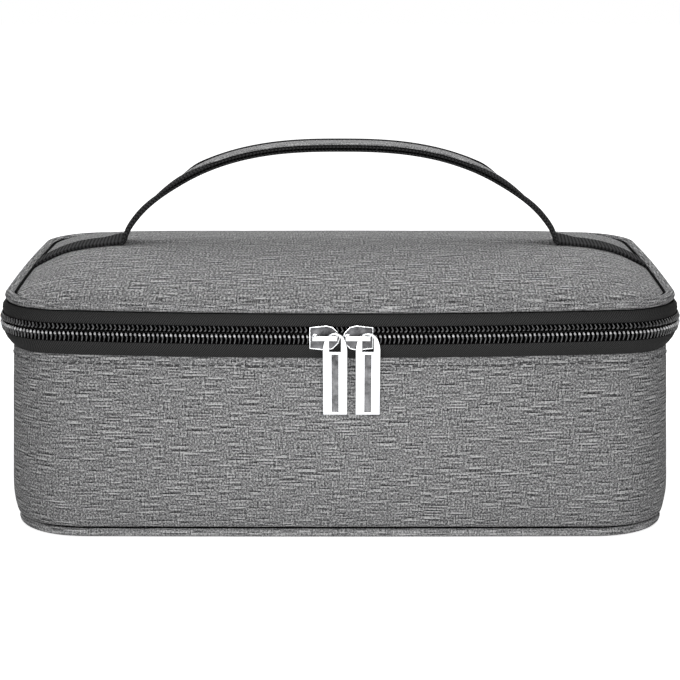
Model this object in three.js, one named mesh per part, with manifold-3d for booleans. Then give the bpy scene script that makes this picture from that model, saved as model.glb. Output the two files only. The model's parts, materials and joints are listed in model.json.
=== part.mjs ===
// Insulated lunch bag: a padded zip-round box with a domed lid and one carrying handle.
// Millimetres, +X to the right, +Y to the back, +Z up. The origin is the middle of the underside.
import * as THREE from 'three';
import { mergeVertices } from 'three/addons/utils/BufferGeometryUtils.js';
import Module from 'manifold-3d';

const wasm = await Module();
wasm.setup();

// Clearance between pieces that touch
const gap = 0.3;

// Outline of the bag at the zipper chain, seen from above
const beltHalfWidth = 144.8;
const beltFront = 95;
const beltBack = 95;
const beltCorner = 30;
const beltFrontBow = 900;
const beltSideBow = 850;
const beltBackBow = 1400;

// Outline of the fullest part of the walls, low on the bag
const lowHalfWidth = 140.8;
const lowFront = 92.5;
const lowBack = 92.5;
const lowCorner = 28;
const lowFrontBow = 9000;
const lowSideBow = 1600;
const lowBackBow = 3500;

// Soft roll of the walls into the base
const rollHeight = 18;
const rollDepth = 5;

// Heights above the table
const chainCentre = 86.9;
const lowerBandHeight = 10.2;
const upperBandHeight = 8.6;
const wallTop = chainCentre - lowerBandHeight;
const lidSeam = chainCentre + upperBandHeight;

// Layers of the shell
const outerFabric = 1;
const foamThickness = 4;
const liningThickness = 0.6;
const wallInset = 5.2;
const foamEase = 0.35;
const liningEase = 0.2;
const floorEase = 0.5;

// Sewn cords round the base and the lid
const basePipingRadius = 1.85;
const lidPipingRadius = 2;
const lidPipingInset = 4.6;

// Zipper
const tapeThickness = 0.7;
const coilDepth = 1.4;
const coilHeight = 3.45;
const hingeStripThickness = 1;

// Seam bindings inside
const bindingWidth = 6.6;
const bindingHeight = 2;
const bindingLap = 0.2;
const lidBindingWidth = 1.6;
const lidBindingHeight = 3.4;

// Domed lid
const lidRise = 9.8;
const lidEdgeDrop = 0.9;
const domeExponentFront = 2.2;
const domeExponentSide = 7;
const lidLayerInset = 1;

// Carrying handle of flat webbing
const strapThickness = 1.3;
const anchorWidth = 19;
const anchorEdgeGap = 0.8;
const handleSetIn = 47.8;
const handleHalfSpan = beltHalfWidth - handleSetIn;
const handleBack = 5;
const handleRise = 42.6;
const archExponent = 2.6;
const archRoot = 1.35;
const tailRise = 12;
const tailWidth = 12.5;
const foldedWidth = 13;
const foldedThickness = 2.4;
const gripHalfLength = 70;
const gripTaper = 14;
const gripWidth = 13.6;
const gripThickness = 0.9;
const gripTipWidth = 5;

// Zipper sliders
const sliderHalfLength = 6.2;
const sliderTailHalf = 4.4;
const sliderHalfHeight = 5.1;
const sliderPlate = 1.2;
const sliderDrop = 0.5;
const flangeDepth = 1.6;
const flangeHeight = 1.1;
const leftSliderX = -6.1;
const rightSliderX = 7.2;
const footOffset = 4.1;
const footRadius = 0.85;
const bridgeBar = 1;
const bridgeWidth = 1.8;

// Flat pulls hooked round a foot of each bridge
const pullWidth = 9.8;
const pullThickness = 1.2;
const pullLength = 33.2;
const pullTilt = 8;
const eyeWidth = 4.8;
const eyeDrop = 5.9;
const eyeTopWall = 1;
const grooveWidth = 2.8;
const grooveDepth = 0.4;
const grooveEndWall = 1.1;

// Points where two circles cross, for corner arcs that run into the long bows
function crossing(ax, ay, ra, bx, by, rb, side) {
  const d = Math.hypot(bx - ax, by - ay);
  const along = (d * d + ra * ra - rb * rb) / (2 * d);
  const off = side * Math.sqrt(ra * ra - along * along);
  const ux = (bx - ax) / d;
  const uy = (by - ay) / d;
  return [ax + along * ux - off * uy, ay + along * uy + off * ux];
}

// Straight steps that each arc of the outline is cut into
const cornerSteps = 6;
const sideSteps = 5;
const frontSteps = 12;
const backSteps = 8;
const stationCount = 4 * cornerSteps + 2 * sideSteps + frontSteps + backSteps;
const zipperLast = stationCount - backSteps;

// A closed outline of eight tangent arcs, walked from the back left corner by the front to the back
function makePlan(halfWidth, front, back, corner, frontBow, sideBow, backBow) {
  const frontY = frontBow - front;
  const backY = back - backBow;
  const sideX = halfWidth - sideBow;
  const sideY = (back - front) / 2;
  const near = crossing(0, frontY, frontBow - corner, sideX, sideY, sideBow - corner, 1);
  const far = crossing(0, backY, backBow - corner, sideX, sideY, sideBow - corner, -1);
  const [nearX, nearY] = near;
  const [farX, farY] = far;
  const aFront = Math.atan2(nearY - frontY, nearX);
  const aNear = Math.atan2(nearY - sideY, nearX - sideX);
  const aFar = Math.atan2(farY - sideY, farX - sideX);
  const aBack = Math.atan2(farY - backY, farX);
  const turn = 2 * Math.PI;
  const arcs = [
    [-farX, farY, corner, Math.PI - aBack, Math.PI - aFar, cornerSteps],
    [-sideX, sideY, sideBow, Math.PI - aFar, Math.PI - aNear, sideSteps],
    [-nearX, nearY, corner, Math.PI - aNear, Math.PI - aFront, cornerSteps],
    [0, frontY, frontBow, Math.PI - aFront, turn + aFront, frontSteps],
    [nearX, nearY, corner, turn + aFront, turn + aNear, cornerSteps],
    [sideX, sideY, sideBow, turn + aNear, turn + aFar, sideSteps],
    [farX, farY, corner, turn + aFar, turn + aBack, cornerSteps],
    [0, backY, backBow, turn + aBack, turn + Math.PI - aBack, backSteps],
  ];
  const stations = [];
  for (const [cx, cy, radius, from, to, steps] of arcs) {
    for (let k = 0; k < steps; k++) {
      stations.push([cx, cy, radius, from + ((to - from) * k) / steps]);
    }
  }
  return (i, inset) => {
    const [cx, cy, radius, angle] = stations[i % stations.length];
    const r = radius - inset;
    return [cx + r * Math.cos(angle), cy + r * Math.sin(angle)];
  };
}

const belt = makePlan(
  beltHalfWidth, beltFront, beltBack, beltCorner, beltFrontBow, beltSideBow, beltBackBow);
const low = makePlan(
  lowHalfWidth, lowFront, lowBack, lowCorner, lowFrontBow, lowSideBow, lowBackBow);

// Point on the wall at a height, measured inward from its outer face
function wallPoint(i, z, depth) {
  const t = THREE.MathUtils.clamp((z - rollHeight) / (wallTop - rollHeight), 0, 1);
  const drop = Math.max(0, (rollHeight - z) / rollHeight);
  const roll = rollDepth * (1 - Math.sqrt(1 - drop * drop));
  const a = low(i, roll + depth);
  const b = belt(i, wallInset + depth);
  return [a[0] + (b[0] - a[0]) * t, a[1] + (b[1] - a[1]) * t, z];
}

// Closed mesh from quads and triangles, turned so that its faces point outward
function closedGeometry(points, faces) {
  let volume = 0;
  const a = new THREE.Vector3();
  const b = new THREE.Vector3();
  const c = new THREE.Vector3();
  for (const [i, j, k] of faces) {
    a.fromArray(points[i]);
    b.fromArray(points[j]);
    c.fromArray(points[k]);
    volume += a.dot(b.cross(c));
  }
  const geometry = new THREE.BufferGeometry();
  geometry.setAttribute('position', new THREE.Float32BufferAttribute(points.flat(), 3));
  geometry.setIndex(faces.flatMap(([i, j, k]) => (volume > 0 ? [i, j, k] : [i, k, j])));
  return geometry;
}

// Solid swept through sections of equal length, closed on itself or capped at both ends
function sweep(sections, closed) {
  const count = sections[0].length;
  const points = sections.flat();
  const faces = [];
  const runs = closed ? sections.length : sections.length - 1;
  for (let s = 0; s < runs; s++) {
    const next = (s + 1) % sections.length;
    for (let k = 0; k < count; k++) {
      const n = (k + 1) % count;
      const p = s * count + k;
      const q = s * count + n;
      const r = next * count + k;
      const t = next * count + n;
      faces.push([p, q, r], [q, t, r]);
    }
  }
  if (!closed) {
    const start = sections[0].map((p) => new THREE.Vector3(...p));
    const across = start[1].clone().sub(start[0]).normalize();
    const normal = new THREE.Vector3();
    for (let k = 0; k < count; k++) {
      const here = start[k].clone().sub(start[0]);
      normal.add(here.cross(start[(k + 1) % count].clone().sub(start[0])));
    }
    const up = normal.normalize().clone().cross(across);
    const flat = start.map((p) => new THREE.Vector2(p.dot(across), p.dot(up)));
    const last = (sections.length - 1) * count;
    for (const [i, j, k] of THREE.ShapeUtils.triangulateShape(flat, [])) {
      faces.push([i, k, j], [last + i, last + j, last + k]);
    }
  }
  return closedGeometry(points, faces);
}

// Solid bounded by rings stacked from a lower pole to an upper pole
function domeSolid(bottom, rings, top) {
  const count = rings[0].length;
  const points = [bottom, ...rings.flat(), top];
  const faces = [];
  const lastRing = 1 + (rings.length - 1) * count;
  for (let k = 0; k < count; k++) {
    const n = (k + 1) % count;
    faces.push([0, 1 + n, 1 + k], [points.length - 1, lastRing + k, lastRing + n]);
    for (let s = 0; s + 1 < rings.length; s++) {
      const p = 1 + s * count;
      const q = p + count;
      faces.push([p + k, p + n, q + k], [p + n, q + n, q + k]);
    }
  }
  return closedGeometry(points, faces);
}

// Band that follows the belt outline: its profile is a list of inset and height pairs
function beltBand(profile, first, last) {
  const sections = [];
  for (let i = first; i <= last; i++) {
    sections.push(profile.map(([inset, z]) => [...belt(i, inset), z]));
  }
  return sweep(sections, false);
}

function beltRing(profile) {
  const sections = [];
  for (let i = 0; i < stationCount; i++) {
    sections.push(profile.map(([inset, z]) => [...belt(i, inset), z]));
  }
  return sweep(sections, true);
}

// Wall layer between two depths, from one height to another
function wallRing(heights, outer, inner) {
  const sections = [];
  const down = [...heights].reverse();
  for (let i = 0; i < stationCount; i++) {
    sections.push([
      ...heights.map((z) => wallPoint(i, z, outer)),
      ...down.map((z) => wallPoint(i, z, inner)),
    ]);
  }
  return sweep(sections, true);
}

// Flat sheet inside the walls
function floorPlate(bottom, thickness, depth) {
  const shape = new THREE.Shape();
  for (let i = 0; i < stationCount; i++) {
    const [x, y] = wallPoint(i, bottom + thickness / 2, depth);
    if (i === 0) shape.moveTo(x, y);
    else shape.lineTo(x, y);
  }
  shape.closePath();
  const plate = new THREE.ExtrudeGeometry(shape, { depth: thickness, bevelEnabled: false });
  return plate.translate(0, 0, bottom);
}

// Height of the lid's outer face over a point
const lidPanelInset = lidPipingInset + lidPipingRadius + gap;
const lidEdge = lidSeam + 2 * lidPipingRadius - lidEdgeDrop;
function lidTop(x, y) {
  const reach = Math.hypot(x, y);
  if (reach < 1e-6) return lidEdge + lidRise;
  let share = 1;
  for (let i = 0; i < stationCount; i++) {
    const [ax, ay] = belt(i, lidPanelInset);
    const [bx, by] = belt(i + 1, lidPanelInset);
    const turned = x * (ay - by) + y * (bx - ax);
    if (Math.abs(turned) < 1e-9) continue;
    const along = (x * ay - y * ax) / turned;
    if (along < -1e-9 || along > 1 + 1e-9) continue;
    const px = ax + (bx - ax) * along;
    const py = ay + (by - ay) * along;
    if (px * x + py * y <= 0) continue;
    share = Math.min(1, reach / Math.hypot(px, py));
    break;
  }
  const u = (x / (beltHalfWidth - lidPanelInset)) ** 2;
  const v = (y / ((y < 0 ? beltFront : beltBack) - lidPanelInset)) ** 2;
  const power = domeExponentFront + ((domeExponentSide - domeExponentFront) * u) / (u + v);
  return lidEdge + lidRise * (1 - share ** power);
}

// Layer of the domed lid, at a depth under its outer face
function lidLayer(depth, thickness, inset) {
  const shares = [0.25, 0.5, 0.7, 0.85, 0.94, 1];
  const ring = (share, drop) => {
    const points = [];
    for (let i = 0; i < stationCount; i++) {
      const [x, y] = belt(i, inset);
      points.push([x * share, y * share, lidTop(x * share, y * share) - drop]);
    }
    return points;
  };
  const under = shares.map((share) => ring(share, depth + thickness));
  const over = [...shares].reverse().map((share) => ring(share, depth));
  const middle = lidTop(0, 0);
  return domeSolid([0, 0, middle - depth - thickness], [...under, ...over], [0, 0, middle - depth]);
}

// Cord sewn into a seam
function cordRing(pointAt, radius, z) {
  const sections = [];
  for (let i = 0; i < stationCount; i++) {
    const section = [];
    for (let k = 0; k < 8; k++) {
      const angle = (k * Math.PI) / 4 + Math.PI / 8;
      section.push([...pointAt(i, radius * Math.cos(angle)), z + radius * Math.sin(angle)]);
    }
    sections.push(section);
  }
  return sweep(sections, true);
}

function toManifold(geometry) {
  const bare = geometry.clone();
  bare.deleteAttribute('normal');
  bare.deleteAttribute('uv');
  const merged = mergeVertices(bare, 1e-4);
  return new wasm.Manifold(new wasm.Mesh({
    numProp: 3,
    vertProperties: new Float32Array(merged.attributes.position.array),
    triVerts: new Uint32Array(merged.index.array),
  }));
}

function fromManifold(solid) {
  const { vertProperties, triVerts } = solid.getMesh();
  const geometry = new THREE.BufferGeometry();
  geometry.setAttribute('position', new THREE.BufferAttribute(vertProperties, 3));
  geometry.setIndex(new THREE.BufferAttribute(triVerts, 1));
  return geometry;
}

// Materials, each piece with its own
const greyFabric = { color: 0x848484, roughness: 0.9, metalness: 0 };
const blackTape = { color: 0x2f2f31, roughness: 0.8, metalness: 0 };
const blackCoil = { color: 0x252527, roughness: 0.45, metalness: 0 };
const blackWebbing = { color: 0x2b2b2d, roughness: 0.85, metalness: 0 };
const whiteFoam = { color: 0xe9e7e0, roughness: 0.95, metalness: 0 };
const silverFoil = { color: 0xc9ccd0, roughness: 0.35, metalness: 0.7 };
const chrome = { color: 0xd6d8da, roughness: 0.2, metalness: 1 };

const bag = new THREE.Group();
function place(name, geometry, look, parent = bag) {
  const mesh = new THREE.Mesh(geometry, new THREE.MeshStandardMaterial(look));
  mesh.name = name;
  parent.add(mesh);
  return mesh;
}

// Base: a fabric sheet, foam over it and the foil floor, with a covered cord in the seam
const baseSheetInset = 2 * basePipingRadius + gap;
const floorFoamInset = outerFabric + foamThickness + 2 * gap;
const pipingTop = gap + 2 * basePipingRadius;
place('base_panel', floorPlate(0, outerFabric, baseSheetInset), greyFabric);
place('base_foam', floorPlate(outerFabric + gap, foamThickness, floorFoamInset + gap), whiteFoam);
const basePiping = cordRing(
  (i, out) => wallPoint(i, gap + basePipingRadius, basePipingRadius - out).slice(0, 2),
  basePipingRadius, gap + basePipingRadius);
place('base_piping', basePiping, greyFabric);

// Walls: outer fabric, foam and foil, from the base seam to the zipper
const wallBottom = pipingTop + gap;
const heights = [0, 0.23, 0.57, 1].map((t) => wallBottom + (rollHeight - wallBottom) * t);
heights.push((rollHeight + wallTop) / 2, wallTop);
place('body_wall', wallRing(heights, 0, outerFabric), greyFabric);
const foamTop = chainCentre - coilHeight - bindingHeight;
const foamOuter = outerFabric + gap + foamEase;
const foamInner = foamOuter + foamThickness;
place('body_foam', wallRing([...heights, foamTop], foamOuter, foamInner), whiteFoam);
const floorTop = outerFabric + gap + foamThickness + gap;
place('lining_floor', floorPlate(floorTop, liningThickness, foamInner + gap + floorEase), silverFoil);
const liningHeights = [floorTop + liningThickness + gap, ...heights.slice(2), foamTop];
const liningOuter = foamInner + gap + liningEase;
place('body_lining', wallRing(liningHeights, liningOuter, liningOuter + liningThickness), silverFoil);
const bindingOuter = wallInset + foamOuter - bindingLap;
place('body_binding', beltRing([
  [bindingOuter, foamTop + gap],
  [bindingOuter + bindingWidth, foamTop + gap],
  [bindingOuter + bindingWidth, foamTop + gap + bindingHeight],
  [bindingOuter, foamTop + gap + bindingHeight],
]), blackTape);

// Zipper: two tapes with a coil on each, open across the back
const tapeInset = coilDepth + gap;
const coilBottom = chainCentre - gap / 2 - coilHeight;
const coilTop = chainCentre + gap / 2 + coilHeight;
const tapeFoot = wallTop + gap;
place('lower_tape', beltBand([
  [wallInset, tapeFoot],
  [tapeInset, coilBottom],
  [tapeInset, chainCentre - gap / 2],
  [tapeInset + tapeThickness, chainCentre - gap / 2],
  [tapeInset + tapeThickness, coilBottom + gap],
  [wallInset + tapeThickness, tapeFoot],
], 0, zipperLast), blackTape);
function coilProfile(bottom) {
  const chamfer = coilDepth * 0.35;
  return [
    [coilDepth, bottom],
    [chamfer, bottom],
    [0, bottom + chamfer],
    [0, bottom + coilHeight - chamfer],
    [chamfer, bottom + coilHeight],
    [coilDepth, bottom + coilHeight],
  ];
}
place('lower_coil', beltBand(coilProfile(coilBottom), 0, zipperLast), blackCoil);
place('upper_coil', beltBand(coilProfile(chainCentre + gap / 2), 0, zipperLast), blackCoil);
const tapeHead = lidSeam - gap;
const headInset = lidPipingInset - lidPipingRadius * 0.9;
place('upper_tape', beltBand([
  [tapeInset, chainCentre + gap / 2],
  [tapeInset, coilTop],
  [headInset, tapeHead],
  [headInset + tapeThickness, tapeHead],
  [tapeInset + tapeThickness, coilTop],
  [tapeInset + tapeThickness, chainCentre + gap / 2],
], 0, zipperLast), blackTape);

// Fabric strip across the back, the lid's hinge, cut off square just short of the zipper's ends
const stripHalfLength = Math.abs(belt(zipperLast, 0)[0]) - gap;
const stripProfile = [
  [wallInset, tapeFoot],
  [tapeInset, coilBottom],
  [tapeInset, coilTop],
  [headInset, tapeHead],
  [headInset + hingeStripThickness, tapeHead],
  [tapeInset + hingeStripThickness, coilTop],
  [tapeInset + hingeStripThickness, coilBottom],
  [wallInset + hingeStripThickness, tapeFoot],
];
const stripSections = [];
for (let i = zipperLast; i <= stationCount; i++) {
  stripSections.push(stripProfile.map(([inset, z]) => {
    const [x, y] = belt(i, inset);
    return [THREE.MathUtils.clamp(x, -stripHalfLength, stripHalfLength), y, z];
  }));
}
place('hinge_strip', sweep(stripSections, false), greyFabric);

// Lid: outer fabric, foam and foil, a covered cord round its edge and a bound seam
const lidFoamDepth = outerFabric + gap;
const lidFoilDepth = lidFoamDepth + foamThickness + gap;
place('lid_panel', lidLayer(0, outerFabric, lidPanelInset), greyFabric);
place('lid_foam', lidLayer(lidFoamDepth, foamThickness, lidPanelInset + lidLayerInset), whiteFoam);
place('lid_lining', lidLayer(lidFoilDepth, liningThickness, lidPanelInset + lidLayerInset), silverFoil);
const lidPiping = cordRing(
  (i, out) => belt(i, lidPipingInset - out), lidPipingRadius, lidSeam + lidPipingRadius);
place('lid_piping', lidPiping, greyFabric);
const lidBindingOuter = headInset + hingeStripThickness + gap;
place('lid_binding', beltRing([
  [lidBindingOuter, tapeHead - lidBindingHeight],
  [lidBindingOuter + lidBindingWidth, tapeHead - lidBindingHeight],
  [lidBindingOuter + lidBindingWidth, tapeHead - gap],
  [lidBindingOuter, tapeHead - gap],
]), blackTape);

// Handle anchors: webbing laid flat on the lid from the side seam to the tack
for (const [name, side] of [['handle_anchor_left', -1], ['handle_anchor_right', 1]]) {
  const outerEnd = beltHalfWidth - lidPanelInset - anchorEdgeGap;
  const innerEnd = handleHalfSpan + strapThickness / 2 + gap;
  const sections = [];
  const steps = 9;
  for (let k = 0; k <= steps; k++) {
    const x = side * (outerEnd + ((innerEnd - outerEnd) * k) / steps);
    const half = anchorWidth / 2;
    const front = handleBack - half;
    const back = handleBack + half;
    const edgeSeat = Math.max(lidTop(x, front), lidTop(x, back)) + gap;
    const middleSeat = lidTop(x, handleBack) + gap;
    sections.push([
      [x, front, edgeSeat],
      [x, handleBack, middleSeat],
      [x, back, edgeSeat],
      [x, back, edgeSeat + strapThickness],
      [x, handleBack, middleSeat + strapThickness],
      [x, front, edgeSeat + strapThickness],
    ]);
  }
  place(name, sweep(sections, false), blackWebbing);
}

// Handle: an arch of the same webbing, folded double under a grey grip
const handleFoot = lidTop(handleHalfSpan, handleBack) + gap;
const archPoint = (t) => {
  const x = handleHalfSpan * t;
  const lift = (1 - Math.abs(t) ** archExponent) ** (1 / archRoot);
  return new THREE.Vector2(x, handleFoot + handleRise * lift);
};
// Places along the arch, evenly spread by its angle
function archShares(count) {
  const shares = [];
  for (let k = 0; k <= count; k++) {
    shares.push(-Math.cos((Math.PI * k) / count));
  }
  return shares;
}
const tailShare = (() => {
  let t = 1;
  while (archPoint(t).y < handleFoot + tailRise) t -= 0.0005;
  return t;
})();
// Strap section square to the arch: offset from the centre line, thickness and width
function strapSections(shares, offset, thickness, width) {
  return shares.map((t) => {
    const step = 1e-4;
    const here = archPoint(t);
    const ahead = archPoint(Math.min(1, t + step));
    const behind = archPoint(Math.max(-1, t - step));
    const along = ahead.sub(behind).normalize();
    const out = new THREE.Vector2(-along.y, along.x);
    const inner = here.clone().addScaledVector(out, offset(t));
    const outer = here.clone().addScaledVector(out, offset(t) + thickness(t));
    const front = handleBack - width(t) / 2;
    const back = handleBack + width(t) / 2;
    return [
      [inner.x, front, inner.y],
      [inner.x, back, inner.y],
      [outer.x, back, outer.y],
      [outer.x, front, outer.y],
    ];
  });
}
// Share of the way from the tail's end to the full fold under the grip
const foldShare = (t) => {
  const start = tailShare * handleHalfSpan;
  return THREE.MathUtils.smoothstep(start - Math.abs(t) * handleHalfSpan, 0, start - gripHalfLength);
};
const strapWidth = (t) => tailWidth + (foldedWidth - tailWidth) * foldShare(t);
const strapDepth = (t) => strapThickness + (foldedThickness - strapThickness) * foldShare(t);
const archEnd = tailShare - (gap * 0.8) / handleHalfSpan;
const webbingShares = archShares(30).map((t) => t * archEnd);
const webbingOffset = (t) => -strapDepth(t) / 2;
const webbing = strapSections(webbingShares, webbingOffset, strapDepth, strapWidth);
place('handle_webbing', sweep(webbing, false), blackWebbing);
const gripShares = archShares(24).map((t) => (t * gripHalfLength) / handleHalfSpan);
const gripOffset = (t) => strapDepth(t) / 2 + gap;
const gripSpread = (t) => THREE.MathUtils.smoothstep(
  gripHalfLength - Math.abs(t) * handleHalfSpan, 0, gripTaper);
const gripAcross = (t) => gripTipWidth + (gripWidth - gripTipWidth) * gripSpread(t);
const grip = strapSections(gripShares, gripOffset, () => gripThickness, gripAcross);
place('handle_grip', sweep(grip, false), greyFabric);
for (const [name, side] of [['handle_tail_left', -1], ['handle_tail_right', 1]]) {
  const shares = [];
  for (let k = 0; k <= 6; k++) {
    const share = 1 - (1 - tailShare) * (k / 6) ** 1.6;
    shares.push(side * Math.min(share, 0.9998));
  }
  const width = (t) => THREE.MathUtils.mapLinear(
    Math.abs(t), tailShare, 1, tailWidth, anchorWidth);
  const sections = strapSections(shares, () => -strapThickness / 2, () => strapThickness, width);
  place(name, sweep(sections, false), blackWebbing);
}

// Zipper sliders, each on the bow of the chain, with a bridge for its pull
const pullSeat = gap + sliderPlate + gap + sliderHalfHeight * Math.tan(pullTilt * Math.PI / 180);
const eyeTop = footRadius + gap;
const leanOut = (eyeTop + eyeTopWall) * Math.tan(pullTilt * Math.PI / 180);
const barSeat = pullSeat + pullThickness / Math.cos(pullTilt * Math.PI / 180) + leanOut + gap / 2;
function sliderGeometry(nose) {
  const shape = new THREE.Shape();
  const corners = [
    [-1, -sliderTailHalf / sliderHalfHeight],
    [0.1, -1],
    [0.5, -0.88],
    [0.86, -0.45],
    [1, 0],
    [0.86, 0.45],
    [0.5, 0.88],
    [0.1, 1],
    [-1, sliderTailHalf / sliderHalfHeight],
  ];
  corners.forEach(([u, v], k) => {
    const x = nose * u * sliderHalfLength;
    const z = v * sliderHalfHeight;
    if (k === 0) shape.moveTo(x, z);
    else shape.lineTo(x, z);
  });
  shape.closePath();
  // The plate stands square to the chain, with its thickness outward
  const plate = new THREE.ExtrudeGeometry(shape, { depth: sliderPlate, bevelEnabled: false });
  plate.rotateX(Math.PI / 2);
  plate.translate(0, -gap, 0);
  // The flange turns in under the lower coil, over the straight part of the plate
  const flangeLength = sliderHalfLength * 1.4;
  const flangeThick = flangeDepth + sliderPlate / 2;
  const flange = new THREE.BoxGeometry(flangeLength, flangeThick, flangeHeight);
  flange.translate(
    nose * (flangeLength / 2 - sliderHalfLength + 0.1),
    flangeDepth - gap - flangeThick / 2,
    coilBottom - gap - flangeHeight / 2 - (chainCentre - sliderDrop));
  let solid = toManifold(plate).add(toManifold(flange));
  const footLength = barSeat + bridgeBar * 0.6 - gap - sliderPlate / 2;
  for (const side of [-1, 1]) {
    const foot = new THREE.CylinderGeometry(footRadius, footRadius, footLength, 12);
    foot.translate(side * footOffset, -gap - sliderPlate / 2 - footLength / 2, sliderDrop);
    solid = solid.add(toManifold(foot));
  }
  const bar = new THREE.BoxGeometry(2 * (footOffset + footRadius), bridgeBar, bridgeWidth);
  bar.translate(0, -barSeat - bridgeBar / 2, sliderDrop);
  return fromManifold(solid.add(toManifold(bar)));
}

// Pull: a flat plate with an eye at the top and a groove down its face
function pullGeometry() {
  const half = pullWidth / 2;
  const top = eyeTop + eyeTopWall;
  const bottom = -pullLength;
  const shape = new THREE.Shape();
  shape.moveTo(-half, bottom);
  shape.lineTo(half, bottom);
  shape.lineTo(half, -eyeDrop * 0.8);
  shape.quadraticCurveTo(half * 0.86, top, 0, top);
  shape.quadraticCurveTo(-half * 0.86, top, -half, -eyeDrop * 0.8);
  shape.closePath();
  const eye = new THREE.Path();
  const eyeHalf = eyeWidth / 2;
  eye.moveTo(-eyeHalf, -eyeDrop);
  eye.lineTo(-eyeHalf, -footRadius);
  eye.quadraticCurveTo(-eyeHalf, eyeTop, 0, eyeTop);
  eye.quadraticCurveTo(eyeHalf, eyeTop, eyeHalf, -footRadius);
  eye.lineTo(eyeHalf, -eyeDrop);
  eye.closePath();
  shape.holes.push(eye);
  const plate = new THREE.ExtrudeGeometry(
    shape, { depth: pullThickness, bevelEnabled: false, curveSegments: 7 });
  const grooveTop = -eyeDrop - grooveEndWall;
  const grooveLength = grooveTop - (bottom + grooveEndWall);
  const groove = new THREE.BoxGeometry(grooveWidth, grooveLength, grooveDepth * 2);
  groove.translate(0, grooveTop - grooveLength / 2, pullThickness);
  const cut = fromManifold(toManifold(plate).subtract(toManifold(groove)));
  // Its face looks forward and its back lies on the seat plane
  return cut.rotateX(Math.PI / 2);
}

const bowCentreY = beltFrontBow - beltFront;
for (const [side, x, nose] of [['left', leftSliderX, 1], ['right', rightSliderX, -1]]) {
  // Turning this group about the bow's centre runs the slider along the chain
  const run = new THREE.Group();
  run.position.set(0, bowCentreY, chainCentre - sliderDrop);
  run.rotation.z = Math.asin(x / beltFrontBow);
  bag.add(run);
  place(`slider_${side}`, sliderGeometry(nose), chrome, run).position.set(0, -beltFrontBow, 0);
  const pull = place(`pull_${side}`, pullGeometry(), chrome, run);
  pull.position.set(footOffset, -beltFrontBow - pullSeat, sliderDrop);
  pull.rotation.x = pullTilt * Math.PI / 180;
}

export default bag;
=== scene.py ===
import bisect
import math

import bmesh
import bpy
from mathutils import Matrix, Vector, noise
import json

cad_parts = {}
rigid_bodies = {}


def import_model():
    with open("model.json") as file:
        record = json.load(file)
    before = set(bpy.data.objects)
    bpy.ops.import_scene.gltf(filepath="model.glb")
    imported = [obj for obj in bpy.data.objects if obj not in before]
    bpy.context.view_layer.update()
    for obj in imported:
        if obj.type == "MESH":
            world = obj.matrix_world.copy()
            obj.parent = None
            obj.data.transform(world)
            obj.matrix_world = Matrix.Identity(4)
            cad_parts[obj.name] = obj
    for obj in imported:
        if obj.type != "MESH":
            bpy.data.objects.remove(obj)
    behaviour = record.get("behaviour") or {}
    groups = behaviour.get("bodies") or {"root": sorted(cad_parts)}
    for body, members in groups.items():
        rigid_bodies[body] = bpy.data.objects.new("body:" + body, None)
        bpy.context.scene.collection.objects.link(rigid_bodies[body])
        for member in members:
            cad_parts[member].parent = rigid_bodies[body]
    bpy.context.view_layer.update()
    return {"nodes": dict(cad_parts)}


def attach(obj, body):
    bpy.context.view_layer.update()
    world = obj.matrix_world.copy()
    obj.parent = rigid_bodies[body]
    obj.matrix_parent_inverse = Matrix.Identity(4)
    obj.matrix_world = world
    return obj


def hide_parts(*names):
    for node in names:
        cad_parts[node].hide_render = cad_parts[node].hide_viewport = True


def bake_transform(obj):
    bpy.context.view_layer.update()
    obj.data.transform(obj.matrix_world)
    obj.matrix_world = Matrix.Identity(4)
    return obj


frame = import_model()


# Studio
# The camera looks straight at the front of the bag from a little above the lid. A big soft lamp
# above, a small one in front and a white room light it, and the floor is white paper that keeps the
# soft shadow under the bag.

bpy.ops.object.camera_add(location=(0, -0.9079, 0.2670), rotation=(math.radians(77.4), 0, 0))
camera = bpy.context.object
camera.data.sensor_width = 36
camera.data.lens = 109.06
bpy.context.scene.camera = camera
bpy.context.scene.view_settings.view_transform = "Standard"

for lamp_name, place, tilt, across, watts in [
    ("lamp_above", (0, 0.36, 1.10), (math.radians(-18), 0, 0), 1.3, 9.0),
    ("lamp_front", (0, -0.40, 0.13), (math.radians(84), 0, 0), 0.16, 0.56),
]:
    bpy.ops.object.light_add(type="AREA", location=place, rotation=tilt)
    lamp = bpy.context.object
    lamp.name = lamp_name
    lamp.data.shape = "SQUARE"
    lamp.data.size = across
    lamp.data.energy = watts
    lamp.visible_camera = False


def linear(hex_colour):
    """The linear colour of an sRGB hex value such as 7f7f80."""
    parts = [int(hex_colour[i : i + 2], 16) / 255 for i in (0, 2, 4)]
    return [c / 12.92 if c <= 0.04045 else ((c + 0.055) / 1.055) ** 2.4 for c in parts] + [1.0]


def add_node(tree, kind, *inputs, **settings):
    """Adds one node. Its inputs come in order or by name, each as a value, an output, or a node
    whose first output feeds it. Names in small letters are its properties or a ramp's stops."""
    node = tree.nodes.new("ShaderNode" + kind)
    sockets = dict(enumerate(inputs))
    for key, value in settings.items():
        if key == "stops":
            stops = node.color_ramp.elements
            for number, (place, colour) in enumerate(value):
                stop = stops[number] if number < 2 else stops.new(place)
                stop.position, stop.color = place, linear(colour)
        elif key[0].islower():
            setattr(node, key, value)
        else:
            sockets[key.replace("_", " ")] = value
    for key, value in sockets.items():
        if isinstance(value, bpy.types.Node):
            value = value.outputs[0]
        if isinstance(value, bpy.types.NodeSocket):
            tree.links.new(value, node.inputs[key])
        else:
            node.inputs[key].default_value = value
    return node


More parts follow.
